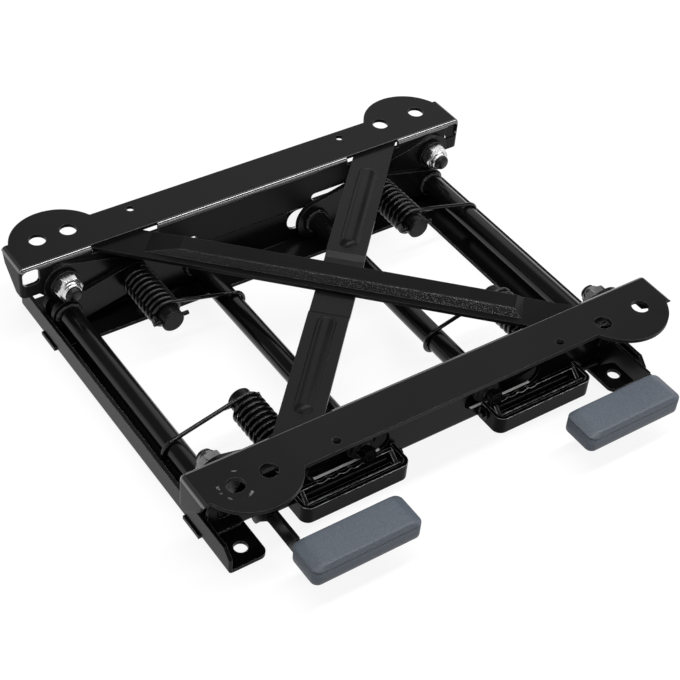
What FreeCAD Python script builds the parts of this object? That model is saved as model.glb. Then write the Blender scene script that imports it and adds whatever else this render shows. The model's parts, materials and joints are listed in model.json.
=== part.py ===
"""Seat height adjuster: a base, a top frame and two half-scissor linkages with release levers.

Millimetres. The origin is the centre of the foot holes on the floor, +Z up, +X along the rails,
-Y towards the handles. The model is drawn fully lowered.
"""
import FreeCAD, Part
import math
import os

V = FreeCAD.Vector
X_AXIS = V(1, 0, 0)
Y_AXIS = V(0, 1, 0)
Z_AXIS = V(0, 0, 1)
ORIGIN = V(0, 0, 0)
LEFT, RIGHT = -1, 1
NEAR, FAR = -1, 1
SIDES = {"left": LEFT, "right": RIGHT}
ENDS = {"far": FAR, "near": NEAR}

# Clearances
running_clearance = 0.05
moving_gap = 0.3
over = 1.0

# Sheet and overall sizes
sheet = 3.0
bend_radius = 4.0
frame_height = 70.0

# Base length, with the pivots and the rails set out from its ends
base_length = 368.0
pivot_from_end = 16.0
rail_overhang = 16.0

# Top rails
rail_length = base_length + 2 * rail_overhang
rail_inner_y = 113.0
rail_width = 35.0
rail_end_step = 3.0
wall_depth = 36.0
wall_end_depth = 26.5
wall_end_length = 14.0
end_flange_foot = 10.0
end_flange_top = 30.0
end_chamfer_height = 15.5
lobe_from_end = 40.5
lobe_offset = 18.0
lobe_radius = 37.5
seat_hole_radius = 6.5
seat_hole_edge = 8.0
seat_holes_from_left_end = (26.8, 51.8)
seat_holes_from_right_end = (26.8, 63.0)
small_hole_from_end = 104.0
small_hole_radius = 3.2
wall_slot_from_end = 93.0
wall_slot_length = 54.0
wall_slot_height = 6.6
wall_slot_drop = 27.2
bolt_slot_length = 22.0
relief_from_end = 15.0
relief_to_end = 1.5
relief_top_drop = 2.6
relief_height = 13.6
relief_corner = 4.0
lobe_trim = 4.0
window_margin_in = 4.0
window_margin_out = 1.5
window_extra = 5.0

# Braces, with the places where their centre lines cross the inner faces of the rails
brace_width = 30.0
brace_lap = 23.0
upper_brace_far_x = -116.5
upper_brace_near_x = 111.5
lower_brace_far_x = 111.5
lower_brace_near_x = -108.0
upper_rib_base = (-14.4, 9.0)
upper_rib_top = (-9.4, 6.0)
upper_rib_height = 6.0
upper_rib_ends = (-139.0, 142.0)
upper_rib_run_out = (6.0, 26.0)
upper_rib_crest_radius = 2.0
lower_rib_width = 15.0
lower_rib_height = 4.0
lower_rib_far = (32.0, 136.0)
lower_rib_near = (-148.0, -46.0)
joggle_far = 22.0
joggle_near = -40.0
joggle_run = 5.0

# Linkage
pivot_x = base_length / 2 - pivot_from_end
pivot_height = 22.0
bolt_drop = 20.0
arm_run = 112.0
slide_x = pivot_x - arm_run
tube_radius = 8.6
arm_sheet = 4.0
arm_to_spacer_gap = 3.0
arm_slide_end_radius = 17.0
link_end_radius = 12.5
lift = 60.0

# Bolts, nuts and washers
bolt_radius = 6.0
bolt_head_width = 18.0
bolt_head_height = 7.5
bolt_end = 3.5
nut_width = 19.0
nut_height = 12.0
nut_collar_radius = 7.6
nut_collar_height = 4.0
washer_radius = 12.0
washer_thickness = 2.5

# Spring spindles and torsion springs
spindle_radius = 9.0
spindle_shank_radius = 7.0
spindle_end_y = 45.0
cross_pin_radius = 1.7
cross_pin_length = 29.0
cross_pin_from_end = 4.5
wire_radius = 1.6
spring_coil_radius = 11.4
spring_pitch = 5.2
spring_turns = 9
spring_start_gap = 1.0
spring_hook_turn = 150.0
hook_steps = 5
coil_steps = 12
wire_sides = 4

# Base
base_width = 304.0
channel_height = 20.0
foot_flange_width = 31.5
foot_corner = 6.0
foot_hole_from_end = 18.0
foot_hole_y = 138.0
foot_hole_radius = 5.0
channel_end_chamfer = 7.0
side_web_y = 120.0
side_web_height = 35.0
side_flange_width = 28.0
slot_beyond_pin = 22.5
pin_radius = 6.0
spacer_radius = 9.0
slide_bush_radius = 9.0
slide_bush_collar_radius = 11.0
end_chamfer = 1.0
pin_proud = 1.2
pin_in_tube = 12.0
web_end_radius = 12.0
tab_margin = 3.0
tab_reach = 1.5

# Lock boxes and release levers
box_from_end = {"left": 66.0, "right": 45.0}
box_length = 89.0
box_depth = 22.5
box_height = 14.5
box_corner = 7.0
rod_radius = 2.5
rod_gap_to_web = 2.5
rod_height = 8.0
lock_plate_gap = 2.5
lock_floor = 4.5
comb_thickness = 3.0
comb_height = 3.7
comb_top = 16.0
comb_bite = 1.5
comb_notches = 5
ear_thickness = 3.0
ear_reach = 4.2
ear_rise = 1.0
ear_drop = 2.0
lock_neck_radius = 3.0
lock_head_back = 0.8
lock_head_depth = 4.8
lock_head_top = 6.0
lock_head_width = 8.0
rod_spring_from_box = {"left": 58.0, "right": 44.0}
rod_spring_turns = 7
rod_spring_gap = 0.3
rod_spring_wire = 0.6
rod_spring_pitch = 1.8
rod_coil_steps = 8
lever_from_box = {"left": 28.2, "right": 21.5}
lever_thickness = 3.0
lever_hub_radius = 4.0
lever_bottom = 21.0
lever_depth = 15.6
lever_rise_y = 137.0
lever_rise_run = 4.0
lever_crank_radius = 5.0
lever_crank_height = 17.0
tang_length = 19.0
tang_margin = 1.2
rod_end_beyond_box = 4.0
ring_radius = 4.6
ring_thickness = 1.2
handle_length = 86.0
handle_depth = 30.0
handle_height = 17.0
handle_back_y = 174.0
handle_top = 37.5
handle_end_margin = 5.8
handle_corner_radius = 5.0
handle_end_slope = 7.5
handle_end_drop = 3.2
handle_top_bevel = 1.6
handle_bottom_bevel = 1.6

# Derived places
top_z = frame_height
plate_z = frame_height - sheet
rail_outer_y = rail_inner_y + rail_width
bolt_z = frame_height - bolt_drop
half_length = rail_length / 2
wall_outer_y = rail_inner_y + sheet
arm_outer_y = rail_inner_y - moving_gap
arm_inner_y = arm_outer_y - arm_sheet
link_outer_y = arm_inner_y - moving_gap
link_inner_y = link_outer_y - arm_sheet
web_inner_y = side_web_y - sheet
long_arm = math.hypot(pivot_x - slide_x, bolt_z - pivot_height)
spindle_x = (pivot_x + slide_x) / 2
spindle_z = (bolt_z + pivot_height) / 2
raised_slide_x = pivot_x - math.sqrt(long_arm ** 2 - (bolt_z - pivot_height + lift) ** 2)
rod_y = side_web_y + rod_gap_to_web + rod_radius
window_drop = 2 * sheet + moving_gap
arm_bolt_end_radius = bolt_z - pivot_height - spacer_radius - arm_to_spacer_gap
lock_nose_radius = pivot_height - comb_top - moving_gap
box_left_x = {"left": box_from_end["left"] - base_length / 2,
              "right": base_length / 2 - box_from_end["right"] - box_length}
lever_x = {"left": box_left_x["left"] - lever_from_box["left"],
           "right": box_left_x["right"] + box_length + lever_from_box["right"]}


def box(x0, x1, y0, y1, z0, z1):
    """A block between three pairs of limits, in either order."""
    low = V(min(x0, x1), min(y0, y1), min(z0, z1))
    return Part.makeBox(abs(x1 - x0), abs(y1 - y0), abs(z1 - z0), low)


def bar_y(radius, x, z, y0, y1):
    """A round bar along Y."""
    return Part.makeCylinder(radius, abs(y1 - y0), V(x, min(y0, y1), z), Y_AXIS)


def bar_x(radius, y, z, x0, x1):
    """A round bar along X."""
    return Part.makeCylinder(radius, abs(x1 - x0), V(min(x0, x1), y, z), X_AXIS)


def bar_z(radius, x, y, z0, z1):
    """A round bar along Z."""
    return Part.makeCylinder(radius, abs(z1 - z0), V(x, y, min(z0, z1)), Z_AXIS)


def prism(points, direction):
    """A polygon pushed along a direction."""
    wire = Part.makePolygon(points + points[:1])
    return Part.Face(wire).extrude(direction)


def prism_xz(points, y0, y1):
    """A polygon of (x, z) points between two Y limits."""
    return prism([V(x, y0, z) for x, z in points], V(0, y1 - y0, 0))


def prism_yz(points, x0, x1):
    """A polygon of (y, z) points between two X limits."""
    return prism([V(x0, y, z) for y, z in points], V(x1 - x0, 0, 0))


def hexagon_y(width, x, z, y0, y1):
    """A hexagonal prism along Y with the given width across flats."""
    corner = width / math.sqrt(3)
    turns = [math.radians(30 + 60 * i) for i in range(6)]
    return prism_xz([(x + corner * math.cos(a), z + corner * math.sin(a)) for a in turns], y0, y1)


def slot_y(x0, x1, z, height, y0, y1):
    """A round-ended slot along X, cut through in Y; x0 and x1 are its ends."""
    low, high = min(x0, x1), max(x0, x1)
    r = height / 2
    body = box(low + r, high - r, y0, y1, z - r, z + r)
    return body.fuse([bar_y(r, low + r, z, y0, y1), bar_y(r, high - r, z, y0, y1)]).removeSplitter()


def tapered_plate(a, ra, b, rb, y0, y1):
    """A plate between two Y limits whose outline wraps two circles at (x, z) points a and b."""
    ax, az = a
    bx, bz = b
    span = math.hypot(bx - ax, bz - az)
    heading = math.atan2(bz - az, bx - ax)
    lean = math.acos((ra - rb) / span)
    corners = []
    for sign in (1, -1):
        turn = heading + sign * lean
        dx, dz = math.cos(turn), math.sin(turn)
        corners.append((V(ax + ra * dx, y0, az + ra * dz), V(bx + rb * dx, y0, bz + rb * dz)))
    (a_up, b_up), (a_low, b_low) = corners
    dx, dz = math.cos(heading), math.sin(heading)
    a_back = V(ax - ra * dx, y0, az - ra * dz)
    b_front = V(bx + rb * dx, y0, bz + rb * dz)
    edges = [
        Part.makeLine(a_up, b_up),
        Part.Arc(b_up, b_front, b_low).toShape(),
        Part.makeLine(b_low, a_low),
        Part.Arc(a_low, a_back, a_up).toShape(),
    ]
    return Part.Face(Part.Wire(edges)).extrude(V(0, y1 - y0, 0))


def edges_where(shape, test):
    """The straight edges of a shape whose two end points both pass a test."""
    picked = []
    for edge in shape.Edges:
        if len(edge.Vertexes) == 2 and all(test(v.Point) for v in edge.Vertexes):
            picked.append(edge)
    return picked


def flip(shape, x_side, y_side):
    """Mirror a piece drawn on the right and far side to the side that is wanted."""
    if x_side < 0:
        shape = shape.mirror(ORIGIN, X_AXIS)
    if y_side < 0:
        shape = shape.mirror(ORIGIN, Y_AXIS)
    return shape


def save(node, solids):
    """Write one node, a solid or a list of separate solids."""
    shape = Part.makeCompound(solids) if isinstance(solids, list) else solids
    shape.exportStep("parts/" + node + ".step")


def chamfer_end(bar, y):
    """Break the sharp edge at the end of a round bar along Y."""
    rim = [e for e in bar.Edges if abs(e.CenterOfMass.y - y) < 1e-6 and len(e.Vertexes) == 1]
    return bar.makeChamfer(end_chamfer, rim)


def brace_line_x(far_x, near_x, y):
    """X of a brace's centre line at a given Y."""
    return near_x + (far_x - near_x) * (y + rail_inner_y) / (2 * rail_inner_y)


def tray(inset):
    """The rail's pressed form as a solid, or its hollow when inset by the sheet."""
    r = bend_radius - inset
    block = box(
        -half_length + inset, half_length - inset,
        rail_inner_y + inset, rail_outer_y + (lobe_radius if inset else 0),
        top_z - wall_depth - (over if inset else 0), top_z - inset,
    )
    x_end = half_length - inset
    y_wall = rail_inner_y + inset
    z_top = top_z - inset
    corner = edges_where(block, lambda p: abs(abs(p.x) - x_end) < 1e-6 and abs(p.y - y_wall) < 1e-6)
    top = edges_where(block, lambda p: abs(p.z - z_top) < 1e-6)
    top = [e for e in top if abs(e.CenterOfMass.y - block.BoundBox.YMax) > 1e-3]
    return block.makeFillet(r, corner + top)


def rail_wall_windows(side):
    """Cutters for the openings in the inner wall where the ends of the braces pass."""
    cutters = []
    braces = [(upper_brace_far_x, upper_brace_near_x), (lower_brace_far_x, lower_brace_near_x)]
    for far_x, near_x in braces:
        crossings = [brace_line_x(far_x, near_x, side * y) for y in (rail_inner_y, wall_outer_y)]
        outward = LEFT if crossings[0] < 0 else RIGHT
        half = brace_width / math.sqrt(2)
        extra = window_extra if far_x < 0 else 0
        outer_x = outward * (max(abs(x) for x in crossings) + half + window_margin_out)
        inner_x = outward * (min(abs(x) for x in crossings) - half - window_margin_in - extra)
        window = box(inner_x, outer_x, side * (rail_inner_y - over), side * wall_outer_y,
                     top_z - window_drop, top_z + over)
        lap_room = box(inner_x, outer_x, side * wall_outer_y, side * (wall_outer_y + bend_radius - sheet),
                       top_z - window_drop, plate_z)
        cutters.extend([window, lap_room])
    return cutters


def top_rail(side):
    """One top rail: plate, lobes, inner wall, end walls and every opening."""
    rail = tray(0).cut(tray(sheet))
    end_wall = end_flange_foot + rail_inner_y
    lobe_x = half_length - lobe_from_end
    wall_end_z = top_z - wall_end_depth
    chamfer_z = wall_end_z + end_chamfer_height
    edge_y = rail_outer_y + over
    for x_side in (LEFT, RIGHT):
        x_end = x_side * (half_length + over)
        x_wall = x_side * (half_length - wall_end_length)
        outline = [
            (edge_y, plate_z), (rail_inner_y + end_flange_top, plate_z),
            (rail_inner_y + end_flange_top - sheet, chamfer_z), (end_wall, wall_end_z),
            (rail_inner_y - over, wall_end_z), (rail_inner_y - over, 0), (edge_y, 0),
        ]
        rail = rail.cut(prism_yz(outline, x_wall, x_end))
        slope = [
            (x_wall, wall_end_z), (x_wall, top_z - wall_depth - over),
            (x_wall - x_side * (wall_depth - wall_end_depth), top_z - wall_depth - over),
            (x_wall - x_side * (wall_depth - wall_end_depth), top_z - wall_depth),
        ]
        rail = rail.cut(prism_xz(slope, rail_inner_y - over, wall_outer_y + over))
        rail = rail.cut(box(x_side * (lobe_x + lobe_radius - lobe_trim), x_end,
                            rail_outer_y - rail_end_step, edge_y, plate_z - over, top_z + over))
        lobe = bar_z(lobe_radius, x_side * lobe_x, rail_inner_y + lobe_offset, plate_z, top_z)
        lobe = lobe.common(box(-rail_length, rail_length, rail_outer_y - bend_radius - over,
                               rail_outer_y + lobe_radius, plate_z, top_z))
        rail = rail.fuse(lobe)
    rail = rail.removeSplitter()
    cutters = []
    hole_y = rail_outer_y - seat_hole_edge
    for x_side, from_end in ((LEFT, seat_holes_from_left_end), (RIGHT, seat_holes_from_right_end)):
        for distance in from_end:
            cutters.append(bar_z(seat_hole_radius, x_side * (half_length - distance), hole_y,
                                 plate_z - over, top_z + over))
    y0, y1 = rail_inner_y - over, wall_outer_y + over
    for x_side in (LEFT, RIGHT):
        small_hole_x = x_side * (half_length - small_hole_from_end)
        cutters.append(bar_z(small_hole_radius, small_hole_x, hole_y, plate_z - over, top_z + over))
        wall_slot_x = half_length - wall_slot_from_end
        cutters.append(slot_y(x_side * (wall_slot_x - wall_slot_length), x_side * wall_slot_x,
                              top_z - wall_slot_drop, wall_slot_height, y0, y1))
        relief_x0 = x_side * (half_length - relief_from_end)
        relief_x1 = x_side * (half_length - relief_to_end)
        relief_z = top_z - relief_top_drop
        relief = box(relief_x0, relief_x1, rail_inner_y - over, rail_inner_y + bend_radius,
                     relief_z - relief_height, relief_z)
        across = [e for e in relief.Edges if abs(e.tangentAt(0).y) > 0.9]
        cutters.append(relief.makeFillet(relief_corner, across))
    bolt_bore = bolt_radius + running_clearance
    cutters.append(bar_y(bolt_bore, pivot_x, bolt_z, y0, y1))
    cutters.append(slot_y(-pivot_x - bolt_slot_length / 2, -pivot_x + bolt_slot_length / 2,
                          bolt_z, 2 * bolt_bore, y0, y1))
    rail = rail.cut(cutters)
    if side < 0:
        rail = rail.mirror(ORIGIN, Y_AXIS)
    return rail.cut(rail_wall_windows(side)).removeSplitter()


def folded_rib(ends, run_out, base, top, height, z):
    """A rib with a flat crest and flat flanks along X on a face at z; base and top are (y, y) pairs."""
    start, end = ends
    low = [V(start, base[0], z), V(end, base[0], z), V(end, base[1], z), V(start, base[1], z)]
    s, e = start + run_out[0], end - run_out[1]
    high = [V(s, top[0], z + height), V(e, top[0], z + height),
            V(e, top[1], z + height), V(s, top[1], z + height)]
    sections = [Part.makePolygon(p + p[:1]) for p in (low, high)]
    return Part.makeLoft(sections, True, True)


def round_bead(ends, width, height, z, inset):
    """A bead with a round section and round ends along X on a face at z, or its hollow when inset."""
    radius = (width ** 2 / 4 + height ** 2) / (2 * height)
    centre_z = z + height - radius
    start, end = ends[0] + width / 2, ends[1] - width / 2
    dome = bar_x(radius - inset, 0, centre_z, start, end)
    dome = dome.fuse([Part.makeSphere(radius - inset, V(x, 0, centre_z)) for x in (start, end)])
    room = box(ends[0] - over, ends[1] + over, -width, width, z - inset, z + 2 * height)
    return dome.common(room).removeSplitter()


def laid_strap(strap, far_x, near_x):
    """Turn a strap drawn along X into its place between the rails and trim its ends."""
    run_x, run_y = far_x - near_x, 2 * rail_inner_y
    strap.rotate(ORIGIN, Z_AXIS, math.degrees(math.atan2(run_y, run_x)))
    strap.translate(V((far_x + near_x) / 2, 0, 0))
    reach = rail_inner_y + brace_lap
    return strap.common(box(-rail_length, rail_length, -reach, reach, 0, frame_height * 2)).removeSplitter()


def strap_half_length(far_x, near_x):
    """Half of a strap's length before its ends are trimmed."""
    return math.hypot(far_x - near_x, 2 * rail_inner_y) / 2 + 2 * brace_width


def upper_brace():
    """The strap that lies on top, with one long rib folded up from it."""
    half = strap_half_length(upper_brace_far_x, upper_brace_near_x)
    strap = box(-half, half, -brace_width / 2, brace_width / 2, plate_z - sheet, plate_z)
    shape = (upper_rib_ends, upper_rib_run_out, upper_rib_base, upper_rib_top, upper_rib_height)
    outside = folded_rib(*shape, plate_z)
    crest = [e for e in outside.Edges if e.CenterOfMass.z > plate_z + upper_rib_height * 0.9]
    strap = strap.fuse(outside.makeFillet(upper_rib_crest_radius, crest))
    strap = strap.cut(folded_rib(*shape, plate_z - sheet))
    return laid_strap(strap.removeSplitter(), upper_brace_far_x, upper_brace_near_x)


def lower_brace():
    """The strap that steps down by its own thickness under the other one, with two round beads."""
    half = strap_half_length(lower_brace_far_x, lower_brace_near_x)
    path = [(-half, 0), (joggle_near - joggle_run, 0), (joggle_near, -sheet),
            (joggle_far, -sheet), (joggle_far + joggle_run, 0), (half, 0)]
    upper = [(x, plate_z + dz) for x, dz in path]
    lower = [(x, plate_z - sheet + dz) for x, dz in reversed(path)]
    strap = prism_xz(upper + lower, -brace_width / 2, brace_width / 2)
    for ends in (lower_rib_far, lower_rib_near):
        strap = strap.fuse(round_bead(ends, lower_rib_width, lower_rib_height, plate_z, 0))
        strap = strap.cut(round_bead(ends, lower_rib_width, lower_rib_height, plate_z, sheet))
    return laid_strap(strap.removeSplitter(), lower_brace_far_x, lower_brace_near_x)


def pivot_bolt():
    """Hexagon head outside the rail's wall, shank through wall and arm, end inside the nut."""
    end_y = arm_inner_y - moving_gap - washer_thickness - nut_height - bolt_end
    shank = chamfer_end(bar_y(bolt_radius, pivot_x, bolt_z, end_y, wall_outer_y), end_y)
    head = hexagon_y(bolt_head_width, pivot_x, bolt_z, wall_outer_y, wall_outer_y + bolt_head_height)
    return shank.fuse(head).removeSplitter()


def pivot_nut():
    """Hexagon nut with the round collar of its locking insert."""
    y1 = arm_inner_y - moving_gap - washer_thickness
    y0 = y1 - nut_height
    nut = hexagon_y(nut_width, pivot_x, bolt_z, y0 + nut_collar_height, y1)
    collar = bar_y(nut_collar_radius, pivot_x, bolt_z, y0, y0 + nut_collar_height)
    nut = nut.fuse(chamfer_end(collar, y0))
    return nut.cut(bar_y(bolt_radius, pivot_x, bolt_z, y0 - over, y1 + over)).removeSplitter()


def pivot_washer():
    """Plain washer between nut and arm."""
    y1 = arm_inner_y - moving_gap
    ring = bar_y(washer_radius, pivot_x, bolt_z, y1 - washer_thickness, y1)
    return ring.cut(bar_y(bolt_radius, pivot_x, bolt_z, 0, rail_outer_y))


def spindle_is_on_link(x_side, y_side):
    """Each spring hooks one member's tube, and its spindle is fixed in the other member."""
    return x_side * y_side < 0


def long_arm_plate(x_side, y_side):
    """Outer plate of the half scissor, from the top bolt through the spindle to the slide pin."""
    plate = tapered_plate((pivot_x, bolt_z), arm_bolt_end_radius, (slide_x, pivot_height),
                          arm_slide_end_radius, arm_inner_y, arm_outer_y)
    y0, y1 = arm_inner_y - over, arm_outer_y + over
    spare = running_clearance if spindle_is_on_link(x_side, y_side) else 0
    plate = plate.cut([
        bar_y(bolt_radius + running_clearance, pivot_x, bolt_z, y0, y1),
        bar_y(pin_radius, slide_x, pivot_height, y0, y1),
        bar_y(spindle_shank_radius + spare, spindle_x, spindle_z, y0, y1),
    ])
    return flip(plate, x_side, y_side)


def link_plate(x_side, y_side):
    """Inner plate of the half scissor, from the base pivot to the spindle."""
    plate = tapered_plate((pivot_x, pivot_height), link_end_radius, (spindle_x, spindle_z),
                          link_end_radius, link_inner_y, link_outer_y)
    y0, y1 = link_inner_y - over, link_outer_y + over
    spare = 0 if spindle_is_on_link(x_side, y_side) else running_clearance
    plate = plate.cut([
        bar_y(pin_radius, pivot_x, pivot_height, y0, y1),
        bar_y(spindle_shank_radius + spare, spindle_x, spindle_z, y0, y1),
    ])
    return flip(plate, x_side, y_side)


def tube(x, half):
    """A tube across the frame, the same on both sides."""
    outer = bar_y(tube_radius, x, pivot_height, -half, half)
    return outer.cut(bar_y(pin_radius, x, pivot_height, -half - over, half + over))


def spindle(x_side, y_side):
    """Round spindle of a torsion spring, drilled near its free end, with a thinner shank outside."""
    shoulder = link_inner_y if spindle_is_on_link(x_side, y_side) else link_inner_y - moving_gap
    body = chamfer_end(bar_y(spindle_radius, spindle_x, spindle_z, spindle_end_y, shoulder), spindle_end_y)
    body = body.cut(bar_x(cross_pin_radius, spindle_end_y + cross_pin_from_end, spindle_z,
                          spindle_x - spindle_radius - over, spindle_x + spindle_radius + over))
    shank = bar_y(spindle_shank_radius, spindle_x, spindle_z, shoulder, arm_outer_y)
    return flip(body.fuse(shank).removeSplitter(), x_side, y_side)


def cross_pin(x_side, y_side):
    """Wire pin through the free end of a spindle."""
    pin = bar_x(cross_pin_radius, spindle_end_y + cross_pin_from_end, spindle_z,
                spindle_x - cross_pin_length / 2, spindle_x + cross_pin_length / 2)
    return flip(pin, x_side, y_side)


def wire_body(path, radius):
    """A wire with a few flat sides that follows a path of points; its section turns with the path."""
    rings = []
    side = None
    last = len(path) - 1
    for i, here in enumerate(path):
        along = (path[min(i + 1, last)] - path[max(i - 1, 0)]).normalize()
        side = along.cross(Y_AXIS) if side is None else side - along * side.dot(along)
        side.normalize()
        up = along.cross(side)
        turns = [2 * math.pi * k / wire_sides for k in range(wire_sides)]
        rings.append([here + (side * math.cos(a) + up * math.sin(a)) * radius for a in turns])
    faces = [Part.Face(Part.makePolygon(ring + ring[:1])) for ring in (rings[0], rings[-1])]
    for ring, following in zip(rings, rings[1:]):
        for k in range(wire_sides):
            m = (k + 1) % wire_sides
            for corners in ((ring[k], ring[m], following[m]), (ring[k], following[m], following[k])):
                faces.append(Part.Face(Part.makePolygon(list(corners) + [corners[0]])))
    solid = Part.makeSolid(Part.makeShell(faces))
    return solid if solid.Volume > 0 else solid.reversed()


def torsion_spring(x_side, y_side):
    """Coil about a spindle; a leg from its free end lies on a tube and hooks round its far side."""
    start_y = link_inner_y - spring_start_gap - wire_radius
    end_y = start_y - spring_pitch * spring_turns
    hook_radius = tube_radius + wire_radius + running_clearance
    centre = V(spindle_x, end_y, spindle_z)
    tube_centre = V(slide_x, end_y, pivot_height)
    span = tube_centre - centre
    run = V(span).normalize()
    up = V(run.z, 0, -run.x)
    lean = math.asin((spring_coil_radius - hook_radius) / span.Length)
    out = up * math.cos(lean) + run * math.sin(lean)
    along = run * math.cos(lean) - up * math.sin(lean)
    hook_corner_radius = hook_radius / math.cos(math.radians(spring_hook_turn) / hook_steps / 2)
    path = []
    for i in range(hook_steps, 0, -1):
        turn = math.radians(spring_hook_turn) * (i - 0.5) / hook_steps
        path.append(tube_centre + (out * math.cos(turn) + along * math.sin(turn)) * hook_corner_radius)
    for i in range(spring_turns * coil_steps + 1):
        turn = 2 * math.pi * i / coil_steps
        rise = Y_AXIS * (spring_pitch * i / coil_steps)
        path.append(centre + rise + (out * math.cos(turn) - along * math.sin(turn)) * spring_coil_radius)
    spring = wire_body(path, wire_radius)
    if not spindle_is_on_link(x_side, y_side):
        spring = spring.mirror(V(spindle_x, 0, 0), X_AXIS)
    return flip(spring, x_side, y_side)


def pivot_pin(y_side):
    """Pin welded into the end of an outer tube; it turns in the side member and ends flush."""
    pin = bar_y(pin_radius, pivot_x, pivot_height, link_inner_y - pin_in_tube, side_web_y)
    return flip(chamfer_end(pin, side_web_y), RIGHT, y_side)


def slide_pin(y_side):
    """Pin welded into the end of an inner tube; the near one has a neck for the lock head."""
    end_y = side_web_y + pin_proud
    pin = chamfer_end(bar_y(pin_radius, slide_x, pivot_height, arm_inner_y - pin_in_tube, end_y), end_y)
    if y_side < 0:
        neck_end = rod_y - lock_head_back + lock_head_depth
        pin = pin.fuse(bar_y(lock_neck_radius, slide_x, pivot_height, side_web_y, neck_end)).removeSplitter()
    return flip(pin, RIGHT, y_side)


def slide_bush():
    """Plastic bush that runs in the slot of a side member, with a collar against its inside."""
    collar_y = web_inner_y - moving_gap
    bush = bar_y(slide_bush_radius, slide_x, pivot_height, collar_y, side_web_y - moving_gap)
    collar = bar_y(slide_bush_collar_radius, slide_x, pivot_height, arm_outer_y, collar_y)
    bore = bar_y(pin_radius, slide_x, pivot_height, arm_inner_y, side_web_y + over)
    return bush.fuse(collar).cut(bore).removeSplitter()


def pivot_spacer():
    """Sleeve on the inside of a side member that keeps the link clear of it."""
    y0, y1 = link_outer_y + moving_gap, web_inner_y
    sleeve = bar_y(spacer_radius, pivot_x, pivot_height, y0, y1)
    return sleeve.cut(bar_y(pin_radius + running_clearance, pivot_x, pivot_height, y0 - over, y1 + over))


def lock_head(x_side):
    """Block with a round nose on the near slide pin, which the teeth of the lock comb hold."""
    y0 = -(rod_y - lock_head_back)
    y1 = y0 - lock_head_depth
    half = lock_head_width / 2
    head = bar_y(lock_nose_radius, slide_x, pivot_height, y0, y1)
    head = head.fuse(box(slide_x - half, slide_x + half, y0, y1, pivot_height, pivot_height + lock_head_top))
    head = head.cut(bar_y(lock_neck_radius, slide_x, pivot_height, y0 + over, y1 - over))
    return flip(head.removeSplitter(), x_side, FAR)


def side_member_profile():
    """Section of a side member on the far side: web with a flange turned inwards along the floor."""
    outer = box(0, 1, side_web_y - side_flange_width, side_web_y, 0, side_web_height)
    inner = box(-over, 2, side_web_y - side_flange_width - over, web_inner_y, sheet, side_web_height + over)
    corner = edges_where(outer, lambda p: abs(p.y - side_web_y) < 1e-6 and abs(p.z) < 1e-6)
    bend = edges_where(inner, lambda p: abs(p.y - web_inner_y) < 1e-6 and abs(p.z - sheet) < 1e-6)
    return outer.makeFillet(bend_radius, corner).cut(inner.makeFillet(bend_radius - sheet, bend))


def side_member(y_side):
    """A long side of the base with its slide slots, pivot holes and end tabs."""
    half = base_length / 2 - sheet
    section = side_member_profile()
    face = [f for f in section.Faces if abs(f.CenterOfMass.x) < 1e-6][0]
    member = face.extrude(V(2 * half, 0, 0))
    member.translate(V(-half, 0, 0))
    cutters = []
    y0, y1 = web_inner_y - over, side_web_y + over
    slide_reach = slide_bush_radius + 2 * moving_gap
    for x_side in (LEFT, RIGHT):
        cutters.append(slot_y(x_side * (slide_x - slot_beyond_pin), x_side * (raised_slide_x + slide_reach),
                              pivot_height, 2 * slide_reach, y0, y1))
        cutters.append(bar_y(pin_radius + running_clearance, x_side * pivot_x, pivot_height, y0, y1))
        end = x_side * half
        start = x_side * (half - web_end_radius)
        square = box(end, start, y0, y1, side_web_height - web_end_radius, side_web_height)
        cutters.append(square.cut(bar_y(web_end_radius, start, side_web_height - web_end_radius, y0, y1)))
    member = member.cut(cutters)
    tab_y0 = side_web_y - side_flange_width + tab_margin
    tab_y1 = side_web_y - bend_radius
    for x_side in (LEFT, RIGHT):
        tab_end = x_side * (base_length / 2 + tab_reach)
        member = member.fuse(box(x_side * (half - over), tab_end, tab_y0, tab_y1, 0, sheet))
    return flip(member.removeSplitter(), RIGHT, y_side)


def cross_channel(x_side):
    """An end of the base: upright wall, floor flange with rounded feet, notches for the side members."""
    half = base_width / 2
    x_out, x_in = base_length / 2, base_length / 2 - foot_flange_width
    foot_hole_x = base_length / 2 - foot_hole_from_end
    outer = box(x_in, x_out, -half, half, 0, channel_height)
    corner = edges_where(outer, lambda p: abs(p.x - x_out) < 1e-6 and abs(p.z) < 1e-6)
    inner = box(x_in - over, x_out - sheet, -half - over, half + over, sheet, channel_height + over)
    bend = edges_where(inner, lambda p: abs(p.x - (x_out - sheet)) < 1e-6 and abs(p.z - sheet) < 1e-6)
    channel = outer.makeFillet(bend_radius, corner).cut(inner.makeFillet(bend_radius - sheet, bend))
    feet = [e for e in channel.Edges if abs(e.CenterOfMass.x - x_in) < 1e-6 and abs(e.tangentAt(0).z) > 0.9]
    channel = channel.makeFillet(foot_corner, feet)
    for y_side in (NEAR, FAR):
        y_end = y_side * half
        top = channel_height
        chamfer = [(y_end, top - channel_end_chamfer), (y_end - y_side * channel_end_chamfer, top),
                   (y_end, top + over), (y_end + y_side * over, top + over),
                   (y_end + y_side * over, top - channel_end_chamfer)]
        channel = channel.cut(prism_yz(chamfer, x_out - bend_radius, x_out + over))
        channel = channel.cut(bar_z(foot_hole_radius, foot_hole_x, y_side * foot_hole_y, -over, sheet + over))
        notch_y0, notch_y1 = y_side * (side_web_y - side_flange_width), y_side * side_web_y
        channel = channel.cut(box(x_in - over, x_out - sheet, notch_y0, notch_y1, -over, sheet + over))
        tab_y0 = y_side * (side_web_y - side_flange_width + tab_margin)
        tab_y1 = y_side * (side_web_y - bend_radius)
        channel = channel.cut(box(x_in, x_out + over, tab_y0, tab_y1, -over, sheet))
    return flip(channel.removeSplitter(), x_side, FAR)


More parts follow.
